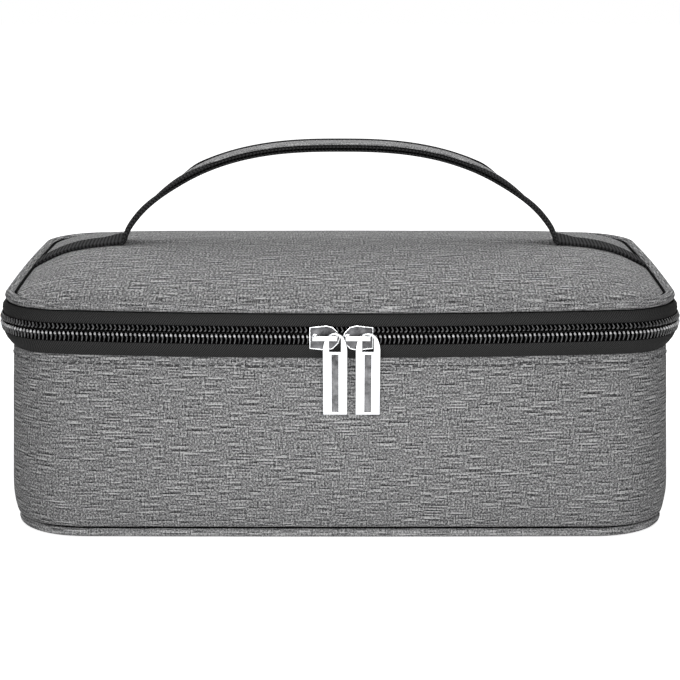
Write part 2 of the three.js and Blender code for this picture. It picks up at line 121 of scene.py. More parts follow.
def rays_of(tree, *kinds):
    """1 for rays of these kinds, and 0 for all the others."""
    rays, total = add_node(tree, "LightPath"), 0.0
    for kind in kinds:
        ray = rays.outputs[f"Is {kind} Ray"]
        total = add_node(tree, "Math", total, ray, operation="MAXIMUM")
    return total


room = bpy.context.scene.world or bpy.data.worlds.new("white_room")
bpy.context.scene.world = room
room.use_nodes = True
tree = room.node_tree
tree.nodes.clear()
soft = add_node(tree, "Background", Color=(1, 1, 1, 1), Strength=0.24)
white = add_node(tree, "Background", Color=(1, 1, 1, 1), Strength=1.0)
seen = rays_of(tree, "Camera", "Glossy", "Transmission")
both = add_node(tree, "MixShader", seen, soft, white)
add_node(tree, "OutputWorld", Surface=both)

bpy.ops.mesh.primitive_plane_add(size=6, location=(0, 0, -0.0002))
floor = bpy.context.object
floor.name = "floor"
paper = bpy.data.materials.new("white_paper")
paper.use_nodes = True
tree = paper.node_tree
tree.nodes.clear()
# To the camera the paper glows a little, so that it comes out nearly white
seen = rays_of(tree, "Camera", "Glossy")
glow_level = add_node(tree, "Math", seen, 0.85, operation="MULTIPLY")
glow = add_node(tree, "Emission", Color=(1, 1, 1, 1), Strength=glow_level)
matt = add_node(tree, "BsdfDiffuse", Color=linear("e6e6e6"))
paper_sum = add_node(tree, "AddShader", glow, matt)
add_node(tree, "OutputMaterial", Surface=paper_sum)
floor.data.materials.append(paper)


# Base sheet
# The underside is one flat piece of the grey polyester cloth, cut a little smaller than the walls
# and sewn all round to the covered cord.


def only(obj):
    """Leaves this object alone selected and active."""
    bpy.ops.object.select_all(action="DESELECT")
    obj.select_set(True)
    bpy.context.view_layer.objects.active = obj


def edit_all(piece):
    """Opens a piece's mesh for editing, with all of it selected."""
    only(piece)
    bpy.ops.object.mode_set(mode="EDIT")
    bpy.ops.mesh.select_all(action="SELECT")


def copy_of_node(node, name):
    """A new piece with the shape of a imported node, its loose triangles joined into clean faces."""
    mesh = frame["nodes"][node].data.copy()
    piece = bpy.data.objects.new(name, mesh)
    bpy.context.scene.collection.objects.link(piece)
    mesh.materials.clear()
    edit_all(piece)
    bpy.ops.mesh.remove_doubles(threshold=0.00001)
    bpy.ops.mesh.dissolve_limited(angle_limit=math.radians(1))
    bpy.ops.object.mode_set(mode="OBJECT")
    return piece


def apply_modifiers(piece):
    """Makes every modifier of the piece a part of its mesh."""
    only(piece)
    for modifier in list(piece.modifiers):
        bpy.ops.object.modifier_apply(modifier=modifier.name)


def write_uv(piece, place_of):
    """Gives a piece a UV map in metres: place_of says where each of its points lies on it."""
    mesh = piece.data
    layer = mesh.uv_layers.active or mesh.uv_layers.new(name="cloth")
    for loop in mesh.loops:
        layer.data[loop.index].uv = place_of(mesh.vertices[loop.vertex_index])


def start_material(name):
    """A new node material, with its tree and its shader."""
    material = bpy.data.materials.new(name)
    material.use_nodes = True
    return material, material.node_tree, material.node_tree.nodes["Principled BSDF"]


def melange_cloth(name, dark, middle, light, coarse=1.0):
    """Plain woven polyester of heathered yarn, laminated to foam: matt, with uneven light and dark
    yarns that run as short streaks across, a finer grain down, and a faint over and under."""
    material, tree, shader = start_material(name)
    shader.inputs["Roughness"].default_value = 0.88
    shader.inputs["Specular IOR Level"].default_value = 0.04
    shader.inputs["Sheen Weight"].default_value = 0.08
    shader.inputs["Sheen Roughness"].default_value = 0.45
    place = add_node(tree, "UVMap")
    # Millimetres from here on: 1000 to the metre
    in_mm = add_node(tree, "Mapping", Scale=(1000, 1000, 1000), Vector=place)

    # The yarns wander a little from the straight
    wander = add_node(tree, "TexNoise", label="wander", Scale=1 / 14, Detail=1.0, Vector=in_mm)
    axes = add_node(tree, "SeparateXYZ", in_mm)
    fibre = 0.5 * coarse**0.5
    grain = add_node(
        tree, "TexNoise", label="fibres", Scale=1 / fibre, Detail=1.0, Roughness=0.6, Vector=in_mm
    )
    contrast = 1.4
    middle_tone = 0.5 - 0.5 * contrast
    tone = add_node(tree, "Math", grain, contrast, middle_tone, operation="MULTIPLY_ADD")
    # Weft and warp: every yarn has its own darker and lighter places, and lies beside one that is
    # lighter where it is darker. The spacing of the yarns and the length of the places are in mm
    for label, run_on, across, spacing, length, strength in [
        ("weft", "X", "Y", 0.60 * coarse**0.7, 12.0, 1.5),
        ("warp", "Y", "X", 0.55, 6.0 * coarse, 0.8),
    ]:
        moved = add_node(tree, "Math", wander, 0.3, axes.outputs[across], operation="MULTIPLY_ADD")
        counted = add_node(tree, "Math", moved, spacing, operation="DIVIDE")
        number = add_node(tree, "Math", counted, operation="FLOOR")
        halved = add_node(tree, "Math", number, 0.5, operation="MULTIPLY")
        pair = add_node(tree, "Math", halved, operation="FLOOR")
        second = add_node(tree, "Math", number, 1.0, operation="PINGPONG")
        sign = add_node(tree, "Math", second, 1.7, -0.7, operation="MULTIPLY_ADD")
        chance = add_node(tree, "TexWhiteNoise", noise_dimensions="1D", W=pair)
        far_on = add_node(tree, "Math", chance, 900.0, operation="MULTIPLY")
        along_it = add_node(
            tree, "Math", axes.outputs[run_on], 1 / length, far_on, operation="MULTIPLY_ADD"
        )
        yarn = add_node(
            tree, "TexNoise", label=label, noise_dimensions="1D",
            Scale=1.0, Detail=2.0, Roughness=0.6, W=along_it,
        )
        centred = add_node(tree, "Math", yarn, 0.5, operation="SUBTRACT")
        signed = add_node(tree, "Math", centred, sign, operation="MULTIPLY")
        tone = add_node(tree, "Math", signed, strength, tone, operation="MULTIPLY_ADD")
    # Plain weave: yarns 0.9 mm apart, about twice as coarse as the real ones so that they show
    waves = []
    for axis, apart in [("X", 0.9), ("Y", 0.9 * coarse)]:
        turned = add_node(tree, "Math", axes.outputs[axis], math.pi / apart, operation="MULTIPLY")
        waves.append(add_node(tree, "Math", turned, operation="SINE"))
    weave = add_node(tree, "Math", waves[0], waves[1], operation="MULTIPLY")
    tone = add_node(tree, "Math", weave, 0.10, tone, operation="MULTIPLY_ADD")
    stops = [(0.14, dark), (0.86, light), (0.5, middle)]
    tint = add_node(tree, "ValToRGB", tone, stops=stops)
    tree.links.new(tint.outputs[0], shader.inputs["Base Color"])
    raised = add_node(tree, "Math", tone, weave, operation="ADD")
    bump = add_node(tree, "Bump", Strength=0.35, Distance=0.0001, Height=raised)
    tree.links.new(bump.outputs[0], shader.inputs["Normal"])
    return material


grey_cloth = melange_cloth("woven_grey_melange_polyester", "353536", "828283", "d2d2d2")
# The lid is cut from a coarser length of the same cloth, with broader slubs
lid_grey_cloth = melange_cloth("coarse_grey_melange_polyester", "353536", "828283", "d2d2d2", 2.8)
# Its fuzz catches more light where the lid is seen at a low angle
lid_grey_cloth.node_tree.nodes["Principled BSDF"].inputs["Sheen Weight"].default_value = 0.22

base_sheet = copy_of_node("base_panel", "base_sheet")
bevel = base_sheet.modifiers.new("turned_edge", "BEVEL")
bevel.width = 0.0003
bevel.segments = 2
apply_modifiers(base_sheet)
write_uv(base_sheet, lambda point: point.co.xy)
base_sheet.data.materials.append(grey_cloth)
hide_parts("base_panel")
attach(base_sheet, "bag")


# Cord round the base
# A cotton cord wrapped in a bias strip of the same grey cloth and caught in the seam between the
# walls and the base sheet. It is cut to length, then bent round the outline of the bag.

# Outlines seen from above, at the zipper's belt, low on the walls and at the base seam: half width,
# front, back, corner radius, and the radii of the bowed front, sides and back
BELT = (0.1438, 0.095, 0.095, 0.030, 0.900, 2.500, 1.400)
LOW = (0.1400, 0.0925, 0.0925, 0.030, 9.000, 1.600, 3.500)
BASE = (0.1366, 0.0893, 0.0891, 0.0295, 9.000, 1.600, 3.500)


def meeting(ax, ay, ra, bx, by, rb, side):
    """Where two circles cross, on one side."""
    d = math.hypot(bx - ax, by - ay)
    along = (d * d + ra * ra - rb * rb) / (2 * d)
    off = side * math.sqrt(ra * ra - along * along)
    ux, uy = (bx - ax) / d, (by - ay) / d
    return ax + along * ux - off * uy, ay + along * uy + off * ux


def arcs_of(half_width, front, back, corner, front_bow, side_bow, back_bow):
    """The eight arcs of an outline, from the back left corner by the front to the back."""
    front_y, back_y = front_bow - front, back - back_bow
    side_x, side_y = half_width - side_bow, (back - front) / 2
    near_x, near_y = meeting(0, front_y, front_bow - corner, side_x, side_y, side_bow - corner, 1)
    far_x, far_y = meeting(0, back_y, back_bow - corner, side_x, side_y, side_bow - corner, -1)
    a_front = math.atan2(near_y - front_y, near_x)
    a_near = math.atan2(near_y - side_y, near_x - side_x)
    a_far = math.atan2(far_y - side_y, far_x - side_x)
    a_back = math.atan2(far_y - back_y, far_x)
    half, turn = math.pi, 2 * math.pi
    return [
        (-far_x, far_y, corner, half - a_back, half - a_far),
        (-side_x, side_y, side_bow, half - a_far, half - a_near),
        (-near_x, near_y, corner, half - a_near, half - a_front),
        (0, front_y, front_bow, half - a_front, turn + a_front),
        (near_x, near_y, corner, turn + a_front, turn + a_near),
        (side_x, side_y, side_bow, turn + a_near, turn + a_far),
        (far_x, far_y, corner, turn + a_far, turn + a_back),
        (0, back_y, back_bow, turn + a_back, turn + half - a_back),
    ]


belt_arcs, low_arcs, base_arcs = arcs_of(*BELT), arcs_of(*LOW), arcs_of(*BASE)


def stations(spacing, whole=True):
    """Places along the outline as (arc, share of the arc): the whole way round from the middle of
    the back, or only the zipper's way, from back corner to back corner."""
    places = []
    for number, (cx, cy, radius, start, end) in enumerate(belt_arcs[: 8 if whole else 7]):
        steps = max(2, 2 * round(abs(end - start) * radius / spacing / 2))
        places += [(number, k / steps) for k in range(steps)]
    if not whole:
        return places + [(6, 1.0)]
    middle = places.index((7, 0.5))
    return places[middle:] + places[:middle]


def outline_spot(arcs, place, inset):
    """The point in plan of a place on an outline, moved inward by an inset."""
    cx, cy, radius, start, end = arcs[place[0]]
    angle = start + (end - start) * place[1]
    return cx + (radius - inset) * math.cos(angle), cy + (radius - inset) * math.sin(angle)


def way_along(name, points, closed=False):
    """A curve through points, for stock to be bent along. It comes with its length, and with
    whether it is closed."""
    curve = bpy.data.curves.new(name, "CURVE")
    curve.dimensions = "3D"
    curve.twist_mode = "Z_UP"
    spline = curve.splines.new("POLY")
    spline.points.add(len(points) - 1)
    for spot, point in zip(points, spline.points):
        point.co = (*spot, 1) if len(spot) == 3 else (*spot, 0, 1)
    spline.use_cyclic_u = closed
    line = bpy.data.objects.new(name, curve)
    bpy.context.scene.collection.objects.link(line)
    line.hide_render = True
    followed = points + points[:1] if closed else points
    length = sum((Vector(b) - Vector(a)).length for a, b in zip(followed, followed[1:]))
    return line, length, closed


def weld(piece, distance):
    """Joins the points of a piece that lie closer together than this."""
    edit_all(piece)
    bpy.ops.mesh.remove_doubles(threshold=distance)
    bpy.ops.object.mode_set(mode="OBJECT")


def bend(piece, way):
    """Bends straight stock along a way, and welds its ends where the way is closed."""
    line, length, closed = way
    bending = piece.modifiers.new("bend", "CURVE")
    bending.object = line
    bending.deform_axis = "POS_X"
    apply_modifiers(piece)
    if closed:
        weld(piece, 0.00005)


def pick(piece, kind, wanted):
    """Leaves only the wanted points, edges or faces of a piece selected, in edit mode."""
    bpy.ops.mesh.select_mode(type=kind)
    bpy.ops.mesh.select_all(action="DESELECT")
    sheet = bmesh.from_edit_mesh(piece.data)
    sheet.normal_update()
    for part in {"VERT": sheet.verts, "EDGE": sheet.edges, "FACE": sheet.faces}[kind]:
        if wanted(part):
            part.select_set(True)
    bmesh.update_edit_mesh(piece.data)


def lengthwise(edge):
    """True for an edge that lies along X."""
    span = edge.verts[1].co - edge.verts[0].co
    return abs(span.x) > 0.99 * span.length


def cut_lengthwise(piece, passes):
    """Cuts stock that lies along X into short lengths, so that it can bend: each pass makes this
    many cuts in every length."""
    only(piece)
    bpy.ops.object.mode_set(mode="EDIT")
    for cuts in passes:
        pick(piece, "EDGE", lengthwise)
        bpy.ops.mesh.subdivide(number_cuts=cuts)
    bpy.ops.object.mode_set(mode="OBJECT")


def covered_cord(name, way, radius, inset, height):
    """An open tube cut to the length of a way, and bent along it at an inset and a height."""
    length = way[1]
    bpy.ops.mesh.primitive_cylinder_add(
        vertices=12, radius=radius, depth=length, end_fill_type="NOTHING",
        location=(length / 2, inset, height), rotation=(0, math.pi / 2, 0),
    )
    piece = bpy.context.object
    piece.name = name
    bpy.ops.object.transform_apply(location=True, rotation=True, scale=True)
    cut_lengthwise(piece, (19, 23))
    mesh = piece.data
    layer = mesh.uv_layers.active or mesh.uv_layers.new(name="cloth")
    for face in mesh.polygons:
        turns = []
        for index in face.loop_indices:
            v = mesh.vertices[mesh.loops[index].vertex_index].co
            turns.append(math.atan2(v.z - height, v.y - inset))
        if max(turns) - min(turns) > math.pi:
            turns = [t + 2 * math.pi if t < 0 else t for t in turns]
        for index, turn in zip(face.loop_indices, turns):
            v = mesh.vertices[mesh.loops[index].vertex_index].co
            layer.data[index].uv = (v.x, turn * radius)
    bend(piece, way)
    bpy.ops.object.shade_smooth()
    return piece


# A paler copy of the grey cloth, for the covered cord and the grip: painted light that brightens them
painted_light_pale_cloth = melange_cloth("grey_melange_polyester_painted_paler", "464647", "9a9a9b", "e4e4e4")
fine = 0.0015  # spacing of the points of a line that stock is bent along
around = stations(fine)
base_way = way_along("base_seam", [outline_spot(base_arcs, place, 0) for place in around], True)
base_cord = covered_cord("base_cord", base_way, radius=0.00175, inset=0.0, height=0.00200)
# The cord takes the paler copy of the cloth: painted light
base_cord.data.materials.append(painted_light_pale_cloth)
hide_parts("base_piping")
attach(base_cord, "bag")


# Walls
# One long piece of grey cloth laminated to foam, wrapped round the bag and joined at the middle of
# the back. The cloth is held along the base seam, the zipper seam and the row of stitches under the
# zipper, and it swells softly between them.

wall_foot = 0.0046
wall_top = 0.0767
roll_height = 0.018  # below it the wall rolls under to the base seam
foot_inset, top_inset = 0.0016, 0.0056  # of the wall's two seams, inside the outlines
stitch_height = 0.0731


def wall_spot(place, height, depth):
    """A point on the wall: it leans from its low outline to the zipper's, and rolls under at the
    foot."""
    if height < roll_height:
        drop = (roll_height - height) / roll_height
        share = 1 - math.sqrt(1 - drop * drop)
        b = outline_spot(base_arcs, place, foot_inset + depth)
    else:
        share = min(1, (height - roll_height) / (wall_top - roll_height))
        b = outline_spot(belt_arcs, place, top_inset + depth)
    a = outline_spot(low_arcs, place, depth)
    return Vector((a[0] + (b[0] - a[0]) * share, a[1] + (b[1] - a[1]) * share, height))


def face_outward(piece):
    """Turns every face of a piece to its outer side."""
    edit_all(piece)
    bpy.ops.mesh.normals_make_consistent(inside=False)
    bpy.ops.object.mode_set(mode="OBJECT")


def wall_cloth(name, spacing, heights, depths):
    """Cloth round the walls: a grid whose columns follow the outline and whose rows lie at the
    given heights and depths. Its UV map gives metres along the wall and up it."""
    columns = stations(spacing)
    bpy.ops.mesh.primitive_grid_add(
        x_subdivisions=len(columns), y_subdivisions=len(heights) - 1, size=1, calc_uvs=True
    )
    piece = bpy.context.object
    piece.name = name
    mesh = piece.data
    across = len(columns) + 1
    places = columns + columns[:1]
    half_way_up = 0.04
    mid = [wall_spot(place, half_way_up, 0) for place in places]
    along = [0.0]
    for a, b in zip(mid, mid[1:]):
        along.append(along[-1] + (b - a).length)
    up = [0.0]
    for k in range(1, len(heights)):
        a = wall_spot(places[0], heights[k - 1], depths[k - 1])
        b = wall_spot(places[0], heights[k], depths[k])
        up.append(up[-1] + (b - a).length)
    write_uv(piece, lambda point: (along[point.index % across], up[point.index // across]))
    for vertex in mesh.vertices:
        row, column = divmod(vertex.index, across)
        vertex.co = wall_spot(places[column], heights[row], depths[row])
    weld(piece, 0.00002)
    face_outward(piece)
    return piece


def swell(piece, held, growth, most_out, most_in):
    """Lets cloth swell between its seams: a short cloth simulation with the held points pinned.
    The cloth is cut a little full, and the foam behind it limits how far a point moves."""
    mesh = piece.data
    rest = [v.co.copy() for v in mesh.vertices]
    normals = [v.normal.copy() for v in mesh.vertices]
    pins = piece.vertex_groups.new(name="seams")
    for vertex in mesh.vertices:
        pins.add([vertex.index], 1.0 if held(vertex.co) else 0.0, "REPLACE")
        if not held(vertex.co):
            vertex.co += vertex.normal * 0.00025 * noise.noise(vertex.co * 45)
    cloth = piece.modifiers.new("swell", "CLOTH")
    fabric = cloth.settings
    fabric.quality = 6
    fabric.mass = 0.2
    fabric.tension_stiffness = fabric.compression_stiffness = 25
    fabric.shear_stiffness = 10
    fabric.bending_stiffness = 0.4
    fabric.vertex_group_mass = pins.name
    fabric.use_pressure = True
    fabric.uniform_pressure_force = 4
    fabric.shrink_min = -growth
    fabric.effector_weights.gravity = 0
    cloth.collision_settings.use_collision = False
    steps = 20
    cloth.point_cache.frame_start = 1
    cloth.point_cache.frame_end = steps
    for step in range(1, steps + 1):
        bpy.context.scene.frame_set(step)
    shaped = piece.evaluated_get(bpy.context.evaluated_depsgraph_get())
    moved = [v.co.copy() for v in shaped.data.vertices]
    piece.modifiers.remove(cloth)
    bpy.context.scene.frame_set(1)
    most_sideways = 0.0008
    for vertex, start, end, normal in zip(mesh.vertices, rest, moved, normals):
        out = (end - start).dot(normal)
        side = (end - start) - normal * out
        limit = most_out if out > 0 else most_in
        if side.length > most_sideways:
            side *= most_sideways / side.length
        vertex.co = start + normal * limit * math.tanh(out / limit) + side
    piece.vertex_groups.clear()


rows = [wall_foot + (roll_height - wall_foot) * k / 7 for k in range(7)]
rows += [roll_height + (stitch_height - roll_height) * k / 22 for k in range(22)]
rows += [stitch_height, 0.0743, 0.0755, wall_top]
heights = [wall_foot, wall_foot] + rows[1:] + [wall_top]
turned_in = 0.0022
depths = [turned_in, 0.0] + [0.0] * (len(rows) - 1) + [turned_in]
wall = wall_cloth("wall_cloth", 0.0028, heights, depths)


def sewn_down(p):
    """True for the wall's points in its two seams and in the row of stitches."""
    return (
        p.z < wall_foot + 0.0001 or p.z > wall_top - 0.0001 or abs(p.z - stitch_height) < 0.0002
    )


def smooth_cloth(piece):
    """Rounds the grid that the cloth was made of."""
    smooth = piece.modifiers.new("smooth_cloth", "SUBSURF")
    smooth.levels = smooth.render_levels = 1
    apply_modifiers(piece)


swell(wall, sewn_down, growth=0.012, most_out=0.0003, most_in=0.0005)
smooth_cloth(wall)
bpy.ops.object.shade_smooth()
wall.data.materials.append(grey_cloth)
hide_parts("body_wall", "body_foam", "base_foam")
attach(wall, "bag")


# Zipper tapes
# Black polyester tape woven in a fine twill, one sewn to the walls and one to the lid. Each carries
# half of the chain along its free edge.


def draw_out(*way):
    """Extrudes what is selected, this far along X, Y and Z."""
    bpy.ops.mesh.extrude_region_move(TRANSFORM_OT_translate={"value": way})


def profile_stock(name, length, profile, passes, closed):
    """Straight stock along X: a short edge is drawn out into its profile of (inset, height) points
    and then cut into lengths. Its UV map gives metres along it and round its profile."""
    bpy.ops.mesh.primitive_plane_add(size=length, location=(length / 2, 0, 0))
    piece = bpy.context.object
    piece.name = name
    bpy.ops.object.transform_apply(location=True, rotation=True, scale=True)
    bpy.ops.object.mode_set(mode="EDIT")
    pick(piece, "VERT", lambda vertex: vertex.co.y > 0)
    bpy.ops.mesh.delete(type="VERT")
    bpy.ops.mesh.select_all(action="SELECT")
    bpy.ops.transform.translate(value=(0, profile[0][0] + length / 2, profile[0][1]))
    points = list(profile) + ([profile[0]] if closed else [])
    for a, b in zip(points, points[1:]):
        draw_out(0, b[0] - a[0], b[1] - a[1])
    bpy.ops.mesh.select_all(action="DESELECT")
    bpy.ops.object.mode_set(mode="OBJECT")
    mesh = piece.data
    layer = mesh.uv_layers.active or mesh.uv_layers.new(name="cloth")
    run = [0.0]
    for a, b in zip(points, points[1:]):
        run.append(run[-1] + math.hypot(b[0] - a[0], b[1] - a[1]))
    for face in mesh.polygons:
        middle = sum((mesh.vertices[i].co for i in face.vertices), Vector()) / len(face.vertices)
        strip = min(
            range(len(points) - 1),
            key=lambda k: math.hypot(
                (points[k][0] + points[k + 1][0]) / 2 - middle.y,
                (points[k][1] + points[k + 1][1]) / 2 - middle.z,
            ),
        )
        for index in face.loop_indices:
            spot = mesh.vertices[mesh.loops[index].vertex_index].co
            near = math.hypot(points[strip][0] - spot.y, points[strip][1] - spot.z)
            layer.data[index].uv = (spot.x, run[strip] + near)
    cut_lengthwise(piece, passes)
    if closed:
        weld(piece, 0.000002)
    return piece


def thicken(piece, thickness, offset=-1.0):
    """Gives cut cloth or tape its thickness."""
    body = piece.modifiers.new("thickness", "SOLIDIFY")
    body.thickness = thickness
    body.offset = offset
    apply_modifiers(piece)


def sewn_strip(name, profile, thickness, way, passes=(19, 21)):
    """A strip of cloth or tape bent along a seam. With no thickness it has a closed profile."""
    piece = profile_stock(name, way[1], profile, passes, closed=not thickness)
    if thickness:
        thicken(piece, thickness)
    bend(piece, way)
    face_outward(piece)
    return piece


def woven_black(name, dark, light, rib, slant, bump_depth, roughness):
    """Black yarn woven in slanting ribs: rib is their spacing in mm and slant how far they lean."""
    material, tree, shader = start_material(name)
    shader.inputs["Roughness"].default_value = roughness
    shader.inputs["Specular IOR Level"].default_value = 0.02
    place = add_node(tree, "UVMap")
    in_mm = add_node(tree, "Mapping", Scale=(1000, 1000, 1000), Vector=place)
    turned = add_node(tree, "Mapping", Rotation=(0, 0, slant), Scale=(1, 1, 1), Vector=in_mm)
    axes = add_node(tree, "SeparateXYZ", turned)
    phase = add_node(tree, "Math", axes.outputs["X"], 2 * math.pi / rib, operation="MULTIPLY")
    ribs = add_node(tree, "Math", phase, operation="SINE")
    fuzz = add_node(tree, "TexNoise", Scale=1.5, Detail=3.0, Roughness=0.7, Vector=in_mm)
    uneven = add_node(tree, "Math", fuzz, 2.4, -1.2, operation="MULTIPLY_ADD")
    height = add_node(tree, "Math", ribs, uneven, operation="ADD")
    share = add_node(tree, "MapRange", From_Min=-1.5, From_Max=1.5, Value=height)
    tint = add_node(tree, "ValToRGB", share, stops=[(0, dark), (1, light)])
    tree.links.new(tint.outputs[0], shader.inputs["Base Color"])
    bump = add_node(tree, "Bump", Strength=0.6, Distance=bump_depth, Height=height)
    tree.links.new(bump.outputs[0], shader.inputs["Normal"])
    return material


# A near-black strip stands in the groove between the wall and the covered cord, and shows as a dark
# line there: painted shade
groove_shade_black = woven_black(
    "near_black_painted_groove_shade", "020202", "101011", 0.8, math.radians(35), 0.00005, 0.9
)
base_seam = sewn_strip("base_seam_tape", [(0.0002, 0.0030), (0.0002, 0.0052)], 0.0003, base_way)
base_seam.data.materials.append(groove_shade_black)
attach(base_seam, "bag")

zipper_way = way_along(
    "zipper_way", [outline_spot(belt_arcs, place, 0) for place in stations(fine, whole=False)]
)
tape_twill = woven_black(
    "black_twill_zipper_tape", "151515", "4a4a4a", 0.8, math.radians(35), 0.00005, 0.75
)
lower_profile = [
    (0.0055, 0.0766), (0.0040, 0.0783), (0.0026, 0.0802),
    (0.0018, 0.0820), (0.0016, 0.0833), (0.0017, 0.08745),
]
upper_profile = [
    (0.0017, 0.08775), (0.0016, 0.0908), (0.0013, 0.0922), (0.0015, 0.0937), (0.0028, 0.0952),
]
for name, node, profile, body in [
    ("lower_tape_cloth", "lower_tape", lower_profile, "bag"),
    ("upper_tape_cloth", "upper_tape", upper_profile, "lid"),
]:
    tape = sewn_strip(name, profile, 0.0007, zipper_way)
    bpy.ops.object.shade_smooth_by_angle(angle=math.radians(40))
    tape.data.materials.append(tape_twill)
    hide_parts(node)
    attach(tape, body)


# Zipper chain
# A nylon coil zipper seen from its face: each side is a row of bent monofilament loops, 1.85 mm
# apart, whose rounded heads meet in the middle. One loop is modelled and copied along the zipper.

tooth_pitch = 0.00185


def nylon(name, dark, light):
    """Black nylon monofilament, glossy, flecked between a dark and a light colour."""
    material, tree, shader = start_material(name)
    shader.inputs["Roughness"].default_value = 0.25
    shader.inputs["IOR"].default_value = 1.53
    shader.inputs["Specular IOR Level"].default_value = 0.35
    place = add_node(tree, "TexCoord").outputs["Object"]
    specks = add_node(tree, "TexNoise", Scale=700.0, Detail=2.0, Vector=place)
    tint = add_node(tree, "ValToRGB", specks, stops=[(0.35, dark), (0.65, light)])
    tree.links.new(tint.outputs[0], shader.inputs["Base Color"])
    return material


nylon_leg = nylon("black_nylon_monofilament", "262627", "6a6a6b")
# Pale nylon for the heads of the lower loops: a painted highlight where they face the light
highlight_pale_nylon = nylon("black_nylon_painted_highlight", "a4a4a6", "f2f2f3")
# The cord inside the coil is real, but it is made near black, matt and without gloss: painted shade
# in the gaps between the loops
shade_black_coil_cord = nylon("coil_cord_painted_shade", "010101", "040404")
shader = shade_black_coil_cord.node_tree.nodes["Principled BSDF"]
shader.inputs["Specular IOR Level"].default_value = 0.0
shader.inputs["Roughness"].default_value = 0.9


def lay_in_row(piece, pitch, count, way):
    """Repeats a piece along X and bends the row along a way."""
    row = piece.modifiers.new("row", "ARRAY")
    row.use_relative_offset = False
    row.use_constant_offset = True
    row.constant_offset_displace = (pitch, 0, 0)
    row.count = count
    apply_modifiers(piece)
    bend(piece, way)
    face_outward(piece)
    bpy.ops.object.shade_smooth()


def zipper_loops(name, foot, head, bow, shift, highlight_steps):
    """A row of loops along X: each is drawn out from its foot on the tape to its head in the
    middle, and the listed steps get the pale nylon, a painted highlight."""
    bpy.ops.mesh.primitive_cube_add(size=1)
    piece = bpy.context.object
    piece.name = name
    edit_all(piece)
    bpy.ops.transform.resize(value=(0.00050, 0.0009, 0.0003))
    up = 1 if head > foot else -1
    bpy.ops.transform.translate(value=(tooth_pitch / 2 + shift, 0.0013, foot + up * 0.00015))
    span = abs(head - foot) - 0.0003
    # Drawn out in five steps: it leaves the tape, bows sideways and comes back to the middle
    steps = [
        (bow * 0.6, -0.00025, span * 0.24, (1.1, 1.0, 1)),
        (bow * 0.4, -0.00015, span * 0.26, (1.1, 1.0, 1)),
        (-bow * 0.6, -0.00025, span * 0.22, (1.45, 1.1, 1)),
        (-bow * 0.4, 0.00010, span * 0.16, (1.0, 1.0, 1)),
        (0, 0.00030, span * 0.12, (0.6, 0.6, 1)),
    ]
    piece.data.materials.append(nylon_leg)
    piece.data.materials.append(highlight_pale_nylon)
    for number, (sideways, forward, rise, swell_by) in enumerate(steps):
        pick(piece, "FACE", lambda face: up * face.normal.z > 0.9)
        draw_out(sideways, forward, up * rise)
        bpy.ops.transform.resize(value=swell_by)
        if number in highlight_steps:
            bpy.ops.mesh.select_more()
            piece.active_material_index = 1
            bpy.ops.object.material_slot_assign()
    bpy.ops.object.mode_set(mode="OBJECT")
    softened = piece.modifiers.new("rounded", "BEVEL")
    softened.width = 0.00022
    softened.segments = 1
    lay_in_row(piece, tooth_pitch, int(zipper_way[1] / tooth_pitch) - 1, zipper_way)
    return piece


for name, node, foot, head, bow, shift, highlight_steps, body in [
    ("lower_loops", "lower_coil", 0.0832, 0.08715, 0.00040, 0.0, (3, 4), "bag"),
    ("upper_loops", "upper_coil", 0.0904, 0.08805, 0.00060, tooth_pitch / 2, (), "lid"),
]:
    loops = zipper_loops(name, foot, head, bow, shift, highlight_steps)
    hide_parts(node)
    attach(loops, body)
# Inside each row of loops lies a near-black cord, flat against the tape, which shows as painted shade
# between the loops
for name, first, last, body in [
    ("lower_coil_cord", 0.0830, 0.0873, "bag"),
    ("upper_coil_cord", 0.0876, 0.0905, "lid"),
]:
    profile = [(0.0013, first), (0.0011, (first + last) / 2), (0.0013, last)]
    core = sewn_strip(name, profile, 0.0003, zipper_way)
    core.data.materials.append(shade_black_coil_cord)
    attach(core, body)


# Stitches
# Lockstitch in dark grey polyester thread, 3.6 mm to the stitch, that holds the zipper tape to the
# wall a few millimetres under its edge. The thread sinks a little into the cloth.

# Twisted polyester sewing thread is slightly shiny, with a fine change of tone along its twist
grey_thread, tree, shader = start_material("grey_polyester_thread")
shader.inputs["Roughness"].default_value = 0.6
place = add_node(tree, "TexCoord").outputs["Object"]
twist = add_node(tree, "TexNoise", Scale=1400.0, Detail=2.0, Vector=place)
tint = add_node(tree, "ValToRGB", twist, stops=[(0, "141415"), (1, "38383a")])
tree.links.new(tint.outputs[0], shader.inputs["Base Color"])

stitch_way = way_along(
    "stitch_way", [tuple(wall_spot(place, stitch_height, 0)[:2]) for place in around], True
)
stitch_pitch, stitch_long, thread_thick = 0.0036, 0.0024, 0.00055
stitch_depth = -0.00020  # the thread's centre lies just outside the face of the cloth
bpy.ops.mesh.primitive_cylinder_add(
    vertices=6, radius=thread_thick / 2, depth=stitch_long * 0.6,
    location=(stitch_pitch / 2, stitch_depth, stitch_height), rotation=(0, math.pi / 2, 0),
)
wall_stitches = bpy.context.object
wall_stitches.name = "wall_stitches"
bpy.ops.object.transform_apply(location=True, rotation=True, scale=True)
bpy.ops.object.mode_set(mode="EDIT")
# Both ends of a stitch taper and dive into the cloth
for end in (-1, 1):
    pick(wall_stitches, "FACE", lambda face: face.normal.x * end > 0.9)
    draw_out(end * stitch_long * 0.2, thread_thick * 0.45, 0)
    bpy.ops.transform.resize(value=(1, 0.5, 0.5))
bpy.ops.object.mode_set(mode="OBJECT")
stitches = int(stitch_way[1] / stitch_pitch)
lay_in_row(wall_stitches, stitch_way[1] / stitches, stitches, stitch_way)
wall_stitches.data.materials.append(grey_thread)
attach(wall_stitches, "bag")


# Hinge strip
# A strip of the grey cloth sewn across the back in the gap between the zipper's ends. It is sewn to
# the wall below and to the lid above, and the lid opens by bending it.

